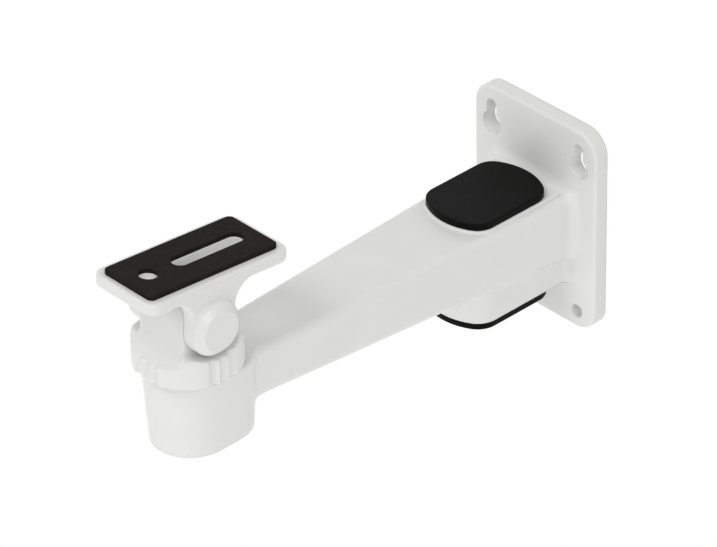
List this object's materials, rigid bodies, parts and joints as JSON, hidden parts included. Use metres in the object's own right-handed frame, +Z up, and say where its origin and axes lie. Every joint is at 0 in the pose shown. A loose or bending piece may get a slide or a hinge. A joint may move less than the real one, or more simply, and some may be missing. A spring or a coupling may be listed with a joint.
{
  "type": "camera bracket",
  "caption": "Wall bracket for a security camera: tapered hollow arm on a wall plate, swivelling base and tilting slotted platform, with covers over the cable openings.",
  "frame": {"origin": "centre of the wall plate's back face, on the wall", "axes": "+Y into the wall, -Y along the arm towards the camera, +Z up, +X to the right when seen from the front of the plate"},
  "size_m": [0.07, 0.2304, 0.1147],
  "materials": {
    "white_casting": "satin white powder paint",
    "black_cap": "fine matt texture",
    "black_pad": "fine matt grain",
    "white_cap": "satin, as the castings",
    "grey_nylon": "smooth",
    "zinc_steel": "bright zinc plating"
  },
  "bodies": {
    "arm": {"arm_casting": "white_casting", "top_cable_cap": "black_cap", "bottom_cable_cap": "black_cap", "swivel_friction_ring": "grey_nylon"},
    "swivel": {"swivel_base": "white_casting", "pan_bolt": "zinc_steel", "pan_flat_washer": "zinc_steel", "pan_lock_washer": "zinc_steel"},
    "platform": {"camera_platform": "white_casting", "platform_pad": "black_pad", "tilt_bolt": "zinc_steel", "tilt_flat_washer": "zinc_steel", "tilt_lock_washer": "zinc_steel", "tilt_nut": "zinc_steel", "tilt_cap_right": "white_cap", "tilt_cap_left": "white_cap"}
  },
  "joints": [
    {"name": "pan", "type": "hinge", "parent": "arm", "child": "swivel", "pos_m": [0, -0.198, 0.0172], "axis": [0, 0, 1], "continuous": true},
    {"name": "tilt", "type": "hinge", "parent": "swivel", "child": "platform", "pos_m": [0, -0.1995, 0.0416], "axis": [1, 0, 0], "range_deg": [-40, 50]}
  ]
}
